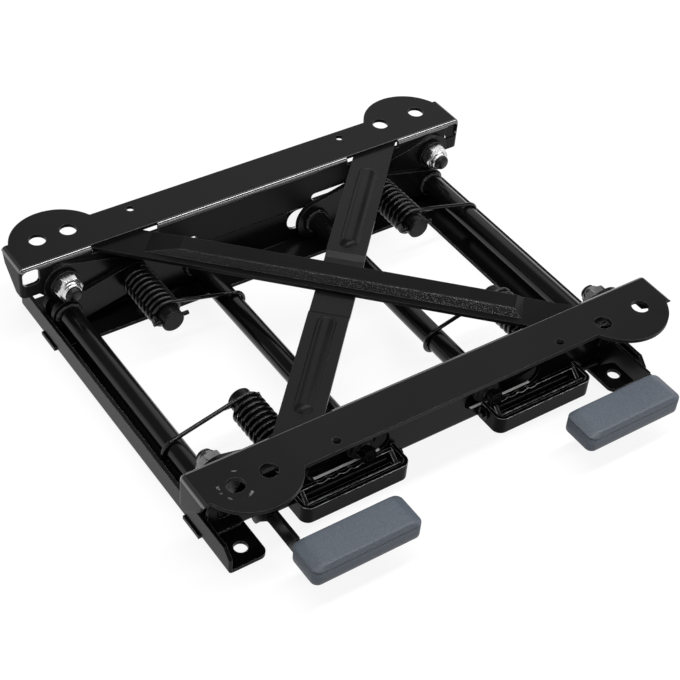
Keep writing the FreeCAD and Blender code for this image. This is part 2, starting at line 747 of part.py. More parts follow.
def lock_box(name):
    """Strap bent to a U that stands on the near side member and carries a lock rod."""
    x0 = box_left_x[name]
    x1 = x0 + box_length
    y_back, y_front = -side_web_y, -side_web_y - box_depth
    outer = box(x0, x1, y_front, y_back, 0, box_height)
    inner = box(x0 + sheet, x1 - sheet, y_front + sheet, y_back + over, -over, box_height + over)
    outer_corners = edges_where(outer, lambda p: abs(p.y - y_front) < 1e-6)
    outer_corners = [e for e in outer_corners if abs(e.tangentAt(0).z) > 0.9]
    inner_corners = edges_where(inner, lambda p: abs(p.y - y_front - sheet) < 1e-6)
    inner_corners = [e for e in inner_corners if abs(e.tangentAt(0).z) > 0.9]
    inner = inner.makeFillet(box_corner - sheet, inner_corners)
    strap = outer.makeFillet(box_corner, outer_corners).cut(inner)
    bore = bar_x(rod_radius + running_clearance, -rod_y, rod_height, x0 - over, x1 + over)
    return strap.cut(bore).removeSplitter()


def lock_rod(name):
    """Rod that turns in the box and carries the lever outside it."""
    side = SIDES[name]
    box_far_x = box_left_x[name] + (box_length if side < 0 else 0)
    lever_face = lever_x[name] + side * lever_thickness / 2
    return bar_x(rod_radius, -rod_y, rod_height, lever_face, box_far_x - side * rod_end_beyond_box)


def rod_ring(name):
    """Retaining ring on the rod's free end, against the outside of the box."""
    side = SIDES[name]
    box_far_x = box_left_x[name] + (box_length if side < 0 else 0)
    x0 = box_far_x - side * moving_gap
    x1 = x0 - side * ring_thickness
    ring = bar_x(ring_radius, -rod_y, rod_height, x0, x1)
    return ring.cut(bar_x(rod_radius, -rod_y, rod_height, x0 + side * over, x1 - side * over))


def lock_plate(name):
    """Plate that lies in the box, with ears on the rod and a comb of teeth above it."""
    x0 = box_left_x[name] + sheet + lock_plate_gap
    x1 = box_left_x[name] + box_length - sheet - lock_plate_gap
    y_front = -side_web_y - box_depth + sheet + lock_plate_gap
    half = comb_thickness / 2
    spring_room = rod_radius + rod_spring_gap + 2 * rod_spring_wire + moving_gap
    floor = box(x0, x1, y_front, -rod_y - spring_room, lock_floor, lock_floor + comb_thickness)
    comb_low = comb_top - comb_height
    comb = box(x0, x1, -rod_y - half, -rod_y + half, comb_low, comb_top)
    outline = [
        (y_front, lock_floor), (y_front, lock_floor + comb_thickness), (-rod_y - half, comb_top),
        (-rod_y + half, comb_top), (-rod_y + ear_reach, rod_height + ear_rise),
        (-rod_y + ear_reach, rod_height - ear_drop), (-rod_y, lock_floor),
    ]
    ears = [prism_yz(outline, x0, x0 + ear_thickness), prism_yz(outline, x1 - ear_thickness, x1)]
    plate = floor.fuse([comb] + ears)
    cutters = [bar_x(rod_radius, -rod_y, rod_height, x0 - over, x1 + over)]
    pitch = (raised_slide_x - slide_x) / (comb_notches - 1)
    for i in range(comb_notches):
        x = SIDES[name] * (slide_x + i * pitch)
        cutters.append(bar_y(lock_nose_radius + moving_gap, x, pivot_height - comb_bite,
                             -rod_y - half - over, -rod_y + half + over))
    return plate.cut(cutters).removeSplitter()


def rod_spring(name):
    """Small coil round the lock rod."""
    radius = (rod_radius + rod_spring_gap + rod_spring_wire) / math.cos(math.pi / rod_coil_steps)
    x0 = box_left_x[name] + rod_spring_from_box[name] - rod_spring_pitch * rod_spring_turns / 2
    path = []
    for i in range(rod_spring_turns * rod_coil_steps + 1):
        turn = 2 * math.pi * i / rod_coil_steps
        path.append(V(x0 + rod_spring_pitch * i / rod_coil_steps,
                      radius * math.cos(turn) - rod_y, radius * math.sin(turn) + rod_height))
    return wire_body(path, rod_spring_wire)


def release_lever(name):
    """Upright plate from the rod under the rail's lobe to the handle, cranked upwards at the rod."""
    top = lever_bottom + lever_depth
    tang_low, tang_high = lever_bottom + tang_margin, top - tang_margin
    tip_y = -handle_back_y - tang_length
    outline = [
        (-rod_y + lever_hub_radius, rod_height), (-rod_y, rod_height + lever_crank_height),
        (-lever_rise_y, top), (-handle_back_y, top), (-handle_back_y, tang_high), (tip_y, tang_high),
        (tip_y, tang_low), (-handle_back_y, tang_low), (-handle_back_y, lever_bottom),
        (-lever_rise_y - lever_rise_run, lever_bottom), (-rod_y - lever_hub_radius, rod_height),
    ]
    x0 = lever_x[name] - lever_thickness / 2
    plate = prism_yz(outline, x0, x0 + lever_thickness)
    crank = [e for e in plate.Edges if abs(e.CenterOfMass.y + lever_rise_y + lever_rise_run / 2)
             < lever_rise_run and abs(e.tangentAt(0).x) > 0.9]
    plate = plate.makeFillet(lever_crank_radius, crank)
    hub = bar_x(lever_hub_radius, -rod_y, rod_height, x0, x0 + lever_thickness)
    bore = bar_x(rod_radius, -rod_y, rod_height, x0 - over, x0 + lever_thickness + over)
    return plate.fuse(hub).cut(bore).removeSplitter()


def handle(name):
    """Moulded grip with sloping shoulders at its ends and a pocket for the lever's tang."""
    side = SIDES[name]
    outer_x = lever_x[name] + side * handle_end_margin
    x0, x1 = sorted((outer_x, outer_x - side * handle_length))
    y0, y1 = -handle_back_y - handle_depth, -handle_back_y
    z0 = handle_top - handle_height
    shoulder = handle_top - handle_end_drop
    outline = [(x0, z0), (x1, z0), (x1, shoulder), (x1 - handle_end_slope, handle_top),
               (x0 + handle_end_slope, handle_top), (x0, shoulder)]
    grip = prism_xz(outline, y0, y1)
    upright = [e for e in grip.Edges if abs(e.tangentAt(0).z) > 0.9]
    grip = grip.makeFillet(handle_corner_radius, upright)
    top = [e for e in grip.Edges if e.BoundBox.ZMin > handle_top - over and abs(e.tangentAt(0).x) > 0.9]
    grip = grip.makeChamfer(handle_top_bevel, top)
    bottom = [e for e in grip.Edges if abs(e.BoundBox.ZMax - z0) < 1e-6]
    grip = grip.makeChamfer(handle_bottom_bevel, bottom)
    half = lever_thickness / 2
    pocket = box(lever_x[name] - half, lever_x[name] + half, y1 - tang_length, y1 + over,
                 lever_bottom + tang_margin, lever_bottom + lever_depth - tang_margin)
    return grip.cut(pocket)


def all_corners(shape):
    """A piece drawn right and far, repeated at the four corners."""
    return [flip(shape, x_side, y_side) for x_side in (LEFT, RIGHT) for y_side in (NEAR, FAR)]


def build():
    os.makedirs("parts", exist_ok=True)
    for end, y_side in ENDS.items():
        save("top_rail_" + end, top_rail(y_side))
        save("side_member_" + end, side_member(y_side))
    save("brace_upper", upper_brace())
    save("brace_lower", lower_brace())
    save("pivot_bolts", all_corners(pivot_bolt()))
    save("pivot_nuts", all_corners(pivot_nut()))
    save("pivot_washers", all_corners(pivot_washer()))
    save("pivot_spacers", all_corners(pivot_spacer()))
    for name, x_side in SIDES.items():
        save("cross_channel_" + name, cross_channel(x_side))
        save("tube_outer_" + name, flip(tube(pivot_x, link_inner_y), x_side, FAR))
        save("tube_inner_" + name, flip(tube(slide_x, arm_inner_y), x_side, FAR))
        save("pivot_pins_" + name, [flip(pivot_pin(s), x_side, FAR) for s in ENDS.values()])
        save("slide_pins_" + name, [flip(slide_pin(s), x_side, FAR) for s in ENDS.values()])
        save("slide_bushes_" + name, [flip(slide_bush(), x_side, s) for s in ENDS.values()])
        save("lock_head_" + name, lock_head(x_side))
        for end, y_side in ENDS.items():
            place = end + "_" + name
            save("arm_plate_" + place, long_arm_plate(x_side, y_side))
            save("link_plate_" + place, link_plate(x_side, y_side))
            save("spindle_" + place, spindle(x_side, y_side))
            save("cross_pin_" + place, cross_pin(x_side, y_side))
            save("torsion_spring_" + place, torsion_spring(x_side, y_side))
        save("lock_box_" + name, lock_box(name))
        save("lock_rod_" + name, lock_rod(name))
        save("rod_ring_" + name, rod_ring(name))
        save("lock_plate_" + name, lock_plate(name))
        save("rod_spring_" + name, rod_spring(name))
        save("release_lever_" + name, release_lever(name))
        save("handle_" + name, handle(name))


build()
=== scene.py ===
"""Finishes, round springs, nuts, grips and weld beads of the seat height adjuster, and its studio.

Sizes are millimetres, turned to metres by mm() when a mesh is made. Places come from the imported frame.
"""
import json
import math
import random

import bpy
from mathutils import Matrix, Vector

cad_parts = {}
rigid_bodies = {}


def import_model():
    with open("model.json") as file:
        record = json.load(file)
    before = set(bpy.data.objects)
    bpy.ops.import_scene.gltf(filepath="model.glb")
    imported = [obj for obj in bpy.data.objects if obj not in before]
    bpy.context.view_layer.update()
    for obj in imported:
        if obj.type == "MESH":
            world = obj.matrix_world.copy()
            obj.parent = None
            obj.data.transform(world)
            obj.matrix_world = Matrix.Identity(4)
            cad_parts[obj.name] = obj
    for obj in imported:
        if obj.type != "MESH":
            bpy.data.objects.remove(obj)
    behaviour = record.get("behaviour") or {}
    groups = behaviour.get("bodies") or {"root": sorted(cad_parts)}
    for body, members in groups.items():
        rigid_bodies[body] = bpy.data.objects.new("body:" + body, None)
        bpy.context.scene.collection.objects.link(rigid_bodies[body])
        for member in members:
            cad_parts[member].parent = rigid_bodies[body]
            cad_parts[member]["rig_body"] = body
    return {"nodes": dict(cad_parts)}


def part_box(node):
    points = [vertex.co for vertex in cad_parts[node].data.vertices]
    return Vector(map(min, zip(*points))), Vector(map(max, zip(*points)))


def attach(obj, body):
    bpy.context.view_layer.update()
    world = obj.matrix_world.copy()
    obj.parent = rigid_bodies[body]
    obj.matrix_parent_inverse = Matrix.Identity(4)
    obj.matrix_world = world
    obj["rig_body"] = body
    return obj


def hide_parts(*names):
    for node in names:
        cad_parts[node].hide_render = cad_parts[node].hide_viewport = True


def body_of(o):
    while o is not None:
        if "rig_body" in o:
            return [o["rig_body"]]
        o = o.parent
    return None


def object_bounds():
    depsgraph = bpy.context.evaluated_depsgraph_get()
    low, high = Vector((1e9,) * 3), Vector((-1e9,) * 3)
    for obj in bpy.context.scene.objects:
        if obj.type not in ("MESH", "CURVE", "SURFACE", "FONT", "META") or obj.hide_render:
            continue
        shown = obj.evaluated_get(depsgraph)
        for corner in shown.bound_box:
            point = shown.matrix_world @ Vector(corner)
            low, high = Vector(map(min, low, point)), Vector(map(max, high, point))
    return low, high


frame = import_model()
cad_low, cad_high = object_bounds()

LEFT, RIGHT = -1, 1
SIDES = {"left": LEFT, "right": RIGHT}
ENDS = {"far": 1, "near": -1}

# The photograph's view
camera_place = (-0.5434, -0.7049, 0.8225)
camera_right = (0.82522, -0.56006, 0.07319)
camera_up = (0.33678, 0.59191, 0.73227)
camera_lens = 83.98
camera_sensor = 36.0

# Torsion springs
wire_radius = 1.6
coil_radius = 11.4
coil_pitch = 5.2
coil_turns = 9
steps_per_turn = 36
wire_sides = 10
hook_turn = 150.0
hook_steps = 14
hook_gap = 0.05
leg_steps = 8

# Lock rod springs
rod_wire_radius = 0.6
rod_wire_sides = 8
rod_coil_turns = 7
rod_steps_per_turn = 20

# Bolts and nuts
bolt_head_width = 18.0
bolt_head_height = 7.5
bolt_radius = 6.0
bolt_sides = 48
thread_pitch = 1.75
thread_depth = 0.55
thread_length = 22.0
thread_runout = 1.2
steps_per_thread = 8
nut_width = 19.0
nut_height = 12.0
nut_hex_height = 8.0
nut_collar_radius = 7.6
nut_sides = 96

# Weld beads: ripple, sides of the section, and the radius at each kind of joint
bead_ripple = 1.5
steps_per_ripple = 4
bead_wobble = 0.06
bead_sides = 10
bead_taper = (0.35, 0.65, 0.85, 0.95)
tube_bead = 2.1
box_bead = 1.9
channel_bead = 2.2
brace_bead = 1.6
bead_out = 0.6
low_bead_out = 0.4
bead_end_gap = 3.0
box_bead_end_gap = 2.5
sheet = 3.0
tube_plate_inset = 1.5
brace_bead_length = 26.0
brace_bead_from_end = 26.0
brace_bead_drop = {"upper": 9.5, "lower": 10.5}

# Grips
grip_corner = 5.5
grip_ridge = 3.3
grip_slope = 8.0
grip_shoulder = 2.4
grip_groove = 0.8
grip_dark = (0.062, 0.073, 0.092, 1)
grip_light = (0.118, 0.136, 0.164, 1)

# Trays under the lock rods
tray_sheet = 1.0
tray_rim = 8.5
tray_drop = 2.2
tray_fold = 1.2
tray_back_gap = 1.4
tray_end_gap = 0.1
tray_front_gap = 0.2

# Grainy coat of the upper brace, with painted highlights (light grey glints) on one flank, stronger towards
# the right
flank_side = (-0.54, -0.54, 0.64)
glints_from_x = -50.0
glints_to_x = 90.0

# Painted highlight: near-white strip on the lower edge of the slide slots
slot_highlight_from_x = 31.0
slot_highlight_to_x = 103.0
slot_highlight_low = 10.0
slot_highlight_high = 12.8
slot_highlight_width = 2.2

# Ring left by a screw head round the near left seat hole
ring_place = (-173.2, -140.0)
ring_inner = 10.8
ring_outer = 12.6

# Studio, in metres and watts; the horizon values are heights of a direction of length 1
sky_level = 0.16
horizon_low = 0.12
horizon_high = 0.35
floor_size = 6.0
floor_gap = 0.0004
floor_tone = 0.16
floor_glow = 0.87
strip_from = 2.0
LAMPS = (
    ("overhead_strip", (0.55, -0.16, 1.25), (2.6, 0.14), 19.0),
    ("front_strip", (0.45, -1.00, 0.85), (2.4, 0.12), 6.0),
    ("back_softbox", (0.62, 0.90, 0.95), (1.0, 1.0), 3.0),
    ("left_softbox", (-1.2, 0.10, 0.8), (0.5, 0.9), 2.5),
)


def mm(*values):
    """Millimetres to a place in metres."""
    return Vector(values) / 1000


def centre(node):
    """Middle of a node's box, in millimetres."""
    low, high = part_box(node)
    return (low + high) * 500


def limits(node):
    """Lowest and highest corner of a node, in millimetres."""
    low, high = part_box(node)
    return low * 1000, high * 1000


def make_mesh(name, points, faces, smooth=True):
    """A mesh object from points in millimetres."""
    mesh = bpy.data.meshes.new(name)
    mesh.from_pydata([tuple(mm(*p)) for p in points], [], faces)
    mesh.validate()
    mesh.update()
    for polygon in mesh.polygons:
        polygon.use_smooth = smooth
    thing = bpy.data.objects.new(name, mesh)
    bpy.context.scene.collection.objects.link(thing)
    return thing


def mark_sharp(thing, degrees):
    """Shade smooth but keep edges steeper than an angle crisp."""
    thing.data.set_sharp_from_angle(angle=math.radians(degrees))


def join_parts(parts):
    """One (points, faces) pair out of several."""
    points, faces = [], []
    for more_points, more_faces in parts:
        start = len(points)
        points.extend(more_points)
        faces.extend([tuple(i + start for i in face) for face in more_faces])
    return points, faces


def sweep(path, radii, sides, closed=False):
    """A tube along a path, its section turned with the path; radii is one number or one per point."""
    path = [Vector(p) for p in path]
    count = len(path)
    if not isinstance(radii, (list, tuple)):
        radii = [radii] * count
    points, faces = [], []
    side = None
    for i, here in enumerate(path):
        before = path[i - 1] if i or closed else here
        after = path[(i + 1) % count] if i < count - 1 or closed else here
        along = (after - before).normalized()
        if side is None:
            helper = Vector((0, 0, 1)) if abs(along.z) < 0.9 else Vector((1, 0, 0))
            side = along.cross(helper).normalized()
        side = (side - along * side.dot(along)).normalized()
        up = along.cross(side)
        for k in range(sides):
            a = 2 * math.pi * k / sides
            points.append(here + (side * math.cos(a) + up * math.sin(a)) * radii[i])
    rings = count if closed else count - 1
    for i in range(rings):
        j = (i + 1) % count
        for k in range(sides):
            m = (k + 1) % sides
            faces.append((i * sides + k, i * sides + m, j * sides + m, j * sides + k))
    if not closed:
        faces.append(tuple(reversed(range(sides))))
        faces.append(tuple((count - 1) * sides + k for k in range(sides)))
    return points, faces


def rounded_wire(path, radius, sides):
    """A tube along a path with rounded ends."""
    path = [Vector(p) for p in path]
    first = (path[0] - path[1]).normalized()
    last = (path[-1] - path[-2]).normalized()
    steps = [0.0, 0.45, 0.8, 1.0]
    head = [path[0] + first * radius * (s - 1) for s in reversed(steps)]
    tail = [path[-1] + last * radius * (s - 1) for s in steps]
    tip = [max(0.05, math.sqrt(max(0.0, 1 - s * s))) * radius for s in steps]
    return sweep(head + path[1:-1] + tail, list(reversed(tip)) + [radius] * (len(path) - 2) + tip, sides)


def lathe(profile, x, z, start_y, direction, around):
    """A closed ring-shaped body about an axis along Y; profile gives (height, radius(turn)) pairs."""
    points, faces = [], []
    for height, radius_at in profile:
        for k in range(around):
            a = 2 * math.pi * k / around
            r = radius_at(a)
            points.append((x + r * math.cos(a), start_y + direction * height, z + r * math.sin(a)))
    count = len(profile)
    for i in range(count):
        j = (i + 1) % count
        for k in range(around):
            m = (k + 1) % around
            quad = (i * around + k, i * around + m, j * around + m, j * around + k)
            faces.append(quad if direction > 0 else tuple(reversed(quad)))
    return points, faces


def round_radius(radius):
    """Radius of a circle, for any turn."""
    return lambda turn: radius


def hex_radius(width, limit):
    """Radius of a hexagon of the given width across flats, cut off at a limit."""
    sixth = math.pi / 3

    def at(turn):
        off = (turn % sixth) - sixth / 2
        return min(limit, width / 2 / math.cos(off))
    return at


def place(thing, body, slot, material, *nodes):
    """Finish a made piece: its body, its material and the nodes that it stands for; the slot argument is
    not used.
    """
    thing.data.materials.append(material)
    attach(thing, body)
    if nodes:
        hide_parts(*nodes)
    return thing


def body_with(node):
    """The body that a node rides on."""
    return body_of(frame["nodes"][node])[0]


class Shader:
    """A short way to build a node material on one Principled shader."""

    def __init__(self, name):
        self.material = bpy.data.materials.new(name)
        self.material.use_nodes = True
        self.tree = self.material.node_tree
        self.tree.nodes.clear()
        self.output = self.node("ShaderNodeOutputMaterial")
        self.base = self.node("ShaderNodeBsdfPrincipled")
        self.link(self.base, 0, self.output, 0)
        self.coords = self.node("ShaderNodeTexCoord")

    def node(self, kind, **values):
        """A new node with some of its settings."""
        made = self.tree.nodes.new(kind)
        for key, value in values.items():
            setattr(made, key, value)
        return made

    def link(self, source, output, target, socket):
        """Join an output to a socket; both by number or name."""
        self.tree.links.new(source.outputs[output], target.inputs[socket])

    def noise(self, scale, detail=2.0, roughness=0.5, stretch=(1, 1, 1)):
        """Noise on object coordinates; its scale is in waves a metre."""
        mapping = self.node("ShaderNodeMapping")
        mapping.inputs["Scale"].default_value = stretch
        self.link(self.coords, "Object", mapping, "Vector")
        noise = self.node("ShaderNodeTexNoise")
        noise.inputs["Scale"].default_value = scale
        noise.inputs["Detail"].default_value = detail
        noise.inputs["Roughness"].default_value = roughness
        self.link(mapping, "Vector", noise, "Vector")
        return noise

    def map_range(self, source, output, low, high, to_low, to_high):
        """A value carried from one range to another, and held within it."""
        made = self.node("ShaderNodeMapRange")
        for socket, value in zip(range(1, 5), (low, high, to_low, to_high)):
            made.inputs[socket].default_value = value
        self.link(source, output, made, 0)
        return made

    def mix(self, factor, a, b):
        """Colour mix; a and b are colours or nodes whose first suitable output is a colour."""
        made = self.node("ShaderNodeMix", data_type="RGBA")
        self.link(factor, 0, made, 0)
        for socket, value in ((6, a), (7, b)):
            if isinstance(value, tuple):
                made.inputs[socket].default_value = value
            else:
                self.link(value, 2 if value.bl_idname == "ShaderNodeMix" else 0, made, socket)
        return made

    def math(self, operation, a, b):
        """A calculation on numbers or on the first outputs of nodes."""
        made = self.node("ShaderNodeMath", operation=operation)
        for socket, value in enumerate((a, b)):
            if isinstance(value, (int, float)):
                made.inputs[socket].default_value = value
            else:
                self.link(value, 0, made, socket)
        return made

    def bump(self, source, depth_mm, normal=None):
        """A normal disturbed by a height."""
        made = self.node("ShaderNodeBump")
        made.inputs["Distance"].default_value = depth_mm / 1000
        self.link(source, 0, made, "Height")
        if normal:
            self.link(normal, 0, made, "Normal")
        return made

    def bevel(self, radius_mm):
        """A normal rounded over the edges."""
        made = self.node("ShaderNodeBevel", samples=6)
        made.inputs["Radius"].default_value = radius_mm / 1000
        return made

    def split(self, source, output):
        """The x, y and z of a vector, on outputs 0, 1 and 2."""
        made = self.node("ShaderNodeSeparateXYZ")
        self.link(source, output, made, 0)
        return made

    def absolute(self, source, output=0):
        """A value without its sign."""
        made = self.node("ShaderNodeMath", operation="ABSOLUTE")
        self.link(source, output, made, 0)
        return made

    def place_on(self, axis):
        """An object coordinate in millimetres."""
        made = self.node("ShaderNodeMath", operation="MULTIPLY")
        self.link(self.split(self.coords, "Object"), axis, made, 0)
        made.inputs[1].default_value = 1000.0
        return made

    def between(self, value, low, high):
        """1 where a value lies between two limits."""
        above = self.math("GREATER_THAN", value, low)
        below = self.math("LESS_THAN", value, high)
        return self.math("MULTIPLY", above, below)

    def recolour(self, factor, tone):
        """Lay a tone over the colour so far, where a factor says."""
        self.tone = self.mix(factor, self.tone, tone)
        self.link(self.tone, 2, self.base, "Base Color")

    def facing(self, direction, low, high):
        """0 to 1 as the surface turns towards a direction of the object."""
        dot = self.node("ShaderNodeVectorMath", operation="DOT_PRODUCT")
        self.link(self.coords, "Normal", dot, 0)
        dot.inputs[1].default_value = Vector(direction).normalized()
        return self.map_range(dot, "Value", low, high, 0.0, 1.0)

    def edges(self, bevel, low, high):
        """1 where the rounded normal leaves the flat one, so on outer and inner edges."""
        geometry = self.node("ShaderNodeNewGeometry")
        dot = self.node("ShaderNodeVectorMath", operation="DOT_PRODUCT")
        self.link(bevel, 0, dot, 0)
        self.link(geometry, "Normal", dot, 1)
        return self.map_range(dot, "Value", high, low, 0.0, 1.0)


def grey(value):
    """A grey as a colour value."""
    return (value, value, value, 1.0)


def paint(name, tones, roughness, gloss, peel, edge, rim, worn):
    """Powder coat: orange peel, cloudy tone and gloss, small specks, lighter along rubbed edges.

    tones are the darker and lighter grey, peel the width and depth of the orange peel, edge the radius
    of the rounded edges, rim the grey of rubbed edges and worn how much they are rubbed.
    """
    s = Shader(name)
    s.bevel_node = s.bevel(edge)
    peel_mm, peel_depth = peel
    peel_noise = s.noise(1000 / peel_mm, 2.0, 0.55)
    dust = s.noise(260, 4.0, 0.6)
    cloud = s.noise(14, 3.0)
    s.normal = s.bump(peel_noise, peel_depth, s.bevel_node)
    s.link(s.normal, 0, s.base, "Normal")
    s.tone = s.mix(s.map_range(cloud, 0, 0.3, 0.7, 0.0, 1.0), grey(tones[0]), grey(tones[1]))
    s.recolour(s.map_range(dust, 0, 0.74, 0.79, 0.0, 0.3), grey(0.10))
    patchy = s.map_range(dust, 0, 0.38, 0.60, 0.35 * worn, worn)
    s.recolour(s.math("MULTIPLY", s.edges(s.bevel_node, 0.80, 0.97), patchy), grey(rim))
    rough = s.map_range(cloud, 0, 0.3, 0.7, roughness - 0.05, roughness + 0.06)
    s.link(rough, 0, s.base, "Roughness")
    s.base.inputs["Specular IOR Level"].default_value = gloss
    return s


def shine_on_bends(s, coat_index, coat_roughness):
    """Glossy coat where the sheet bends from its top into its walls."""
    upward = s.absolute(s.split(s.coords, "Normal"), 2)
    s.link(s.between(upward, 0.15, 0.985), 0, s.base, "Coat Weight")
    s.base.inputs["Coat IOR"].default_value = coat_index
    s.base.inputs["Coat Roughness"].default_value = coat_roughness


def painted_rim_highlights(s, tone, coat_index, coat_roughness):
    """Painted highlight: light grey, glossier lines along up-facing edges, in broken lines."""
    upper = s.map_range(s.split(s.bevel_node, 0), 2, 0.15, 0.35, 0.0, 1.0)
    line = s.math("MULTIPLY", s.edges(s.bevel_node, 0.90, 0.985), upper)
    line = s.math("MULTIPLY", line, s.map_range(s.noise(180, 3.0, 0.6), 0, 0.42, 0.55, 0.25, 1.0))
    # painted highlight along the upper edges
    s.recolour(line, grey(tone))
    s.link(line, 0, s.base, "Coat Weight")
    s.link(s.bevel_node, 0, s.base, "Coat Normal")
    s.base.inputs["Coat IOR"].default_value = coat_index
    s.base.inputs["Coat Roughness"].default_value = coat_roughness


def ring_mark(s):
    """Broken ring of rubbed paint round a seat hole, and a few nicks."""
    x = s.math("SUBTRACT", s.place_on(0), ring_place[0])
    y = s.math("SUBTRACT", s.place_on(1), ring_place[1])
    far = s.math("SQRT", s.math("ADD", s.math("MULTIPLY", x, x), s.math("MULTIPLY", y, y)), 0.0)
    broken = s.map_range(s.noise(110, 3.0, 0.7), 0, 0.54, 0.60, 0.0, 0.8)
    s.recolour(s.math("MULTIPLY", s.between(far, ring_inner, ring_outer), broken), grey(0.20))
    nicks = s.map_range(s.noise(75, 5.0, 0.75, (1, 1.6, 1)), 0, 0.735, 0.75, 0.0, 0.6)
    s.recolour(nicks, grey(0.16))


def painted_slot_highlights(s):
    """Painted highlight: a near-white strip on the up-facing lower edge of each slide slot, with lower
    roughness.
    """
    web = limits("side_member_far")[1].y
    x, y = s.absolute(s.place_on(0)), s.absolute(s.place_on(1))
    strip = s.math("MULTIPLY", s.between(x, slot_highlight_from_x, slot_highlight_to_x),
                   s.between(s.place_on(2), slot_highlight_low, slot_highlight_high))
    strip = s.math("MULTIPLY", strip, s.facing((0, 0, 1), 0.5, 0.9))
    strip = s.math("MULTIPLY", strip, s.between(y, web - slot_highlight_width, web + 0.1))
    # painted highlight: the strip is coloured near white
    s.recolour(strip, grey(0.95))
    s.link(s.map_range(strip, 0, 0.0, 1.0, 0.22, 0.45), 0, s.base, "Roughness")


def grainy_flank_painted_glints(s, grain_mm, depth):
    """Coarse glossy grain on the flank that faces the set side, smooth elsewhere, with painted highlights:
    light grey glints on that flank, fewer towards the left.
    """
    grain = s.noise(1000 / grain_mm, 3.0, 0.7)
    flank = s.facing(flank_side, 0.72, 0.92)
    glints = s.math("MULTIPLY", s.map_range(grain, 0, 0.57, 0.64, 0.0, 0.8), flank)
    rising = s.map_range(s.place_on(0), 0, glints_from_x, glints_to_x, 0.06, 1.0)
    # painted highlight: light grey glints on the flank, growing towards the right
    s.recolour(s.math("MULTIPLY", glints, rising), grey(0.32))
    s.link(s.bump(s.math("MULTIPLY", grain, flank), depth, s.normal), 0, s.base, "Normal")
    s.link(s.map_range(flank, 0, 0.0, 1.0, 0.06, 0.3), 0, s.base, "Specular IOR Level")
    s.link(s.map_range(flank, 0, 0.0, 1.0, 0.34, 0.20), 0, s.base, "Roughness")


def metal(name, tones, roughness, scratch):
    """Bare or plated metal with fine drawn lines and a patchy tone."""
    s = Shader(name)
    s.base.inputs["Metallic"].default_value = 1.0
    lines = s.noise(900, 3.0, 0.6, (1, 0.15, 1))
    patches = s.noise(160, 3.0)
    s.tone = s.mix(s.map_range(patches, 0, 0.35, 0.65, 0.0, 1.0), grey(tones[0]), grey(tones[1]))
    s.link(s.tone, 2, s.base, "Base Color")
    s.link(s.map_range(lines, 0, 0.3, 0.7, roughness - 0.07, roughness + 0.1), 0, s.base, "Roughness")
    s.link(s.bump(lines, scratch, s.bevel(0.3)), 0, s.base, "Normal")
    return s


def plastic(name, colours, roughness, grain):
    """Moulded plastic with an even grain, given by its width and depth, and fine specks."""
    s = Shader(name)
    grain_mm, grain_depth = grain
    bumps = s.noise(1000 / grain_mm, 2.0, 0.6)
    specks = s.noise(900, 4.0, 0.75)
    s.link(s.mix(s.map_range(specks, 0, 0.3, 0.7, 0.0, 1.0), *colours), 2, s.base, "Base Color")
    s.link(s.map_range(bumps, 0, 0.3, 0.7, roughness - 0.06, roughness + 0.06), 0, s.base, "Roughness")
    s.link(s.bump(bumps, grain_depth), 0, s.base, "Normal")
    s.base.inputs["Specular IOR Level"].default_value = 0.4
    return s


def make_paints():
    """The powder coats: satin plates and straps, glossier frame, tubes and wire."""
    plate = paint("satin_black_plate", tones=(0.0075, 0.0100), roughness=0.38, gloss=0.09,
                  peel=(0.9, 0.012), edge=0.6, rim=0.16, worn=0.9)
    shine_on_bends(plate, coat_index=2.2, coat_roughness=0.12)
    ring_mark(plate)
    strap = paint("satin_black_strap", tones=(0.0050, 0.0080), roughness=0.30, gloss=0.12,
                  peel=(1.4, 0.02), edge=0.6, rim=0.12, worn=0.7)
    brace = paint("grainy_black_strap_painted_glints", tones=(0.0030, 0.0055), roughness=0.34, gloss=0.06,
                  peel=(1.4, 0.03), edge=0.6, rim=0.12, worn=0.7)
    grainy_flank_painted_glints(brace, grain_mm=0.85, depth=0.3)
    gloss = paint("gloss_black_frame", tones=(0.0035, 0.005), roughness=0.20, gloss=0.08,
                  peel=(1.6, 0.03), edge=0.6, rim=0.25, worn=1.0)
    painted_slot_highlights(gloss)
    boxes = paint("rubbed_black_strap_painted_rims", tones=(0.003, 0.0045), roughness=0.26, gloss=0.05,
                  peel=(1.4, 0.02), edge=0.9, rim=0.12, worn=0.6)
    painted_rim_highlights(boxes, tone=0.8, coat_index=3.2, coat_roughness=0.3)
    steel = paint("black_steel_parts", tones=(0.0035, 0.005), roughness=0.26, gloss=0.16,
                  peel=(1.2, 0.02), edge=0.5, rim=0.20, worn=0.6)
    tube = paint("gloss_black_tube", tones=(0.003, 0.004), roughness=0.16, gloss=0.30,
                 peel=(2.2, 0.03), edge=0.3, rim=0.1, worn=0.2)
    wire = paint("black_spring_wire", tones=(0.003, 0.005), roughness=0.10, gloss=0.40,
                 peel=(0.8, 0.01), edge=0.1, rim=0.1, worn=0.0)
    weld = paint("painted_weld", tones=(0.004, 0.008), roughness=0.22, gloss=0.35,
                 peel=(1.0, 0.05), edge=0.2, rim=0.2, worn=0.3)
    return dict(plate=plate, strap=strap, brace=brace, gloss=gloss, boxes=boxes, steel=steel, tube=tube,
                wire=wire, weld=weld)


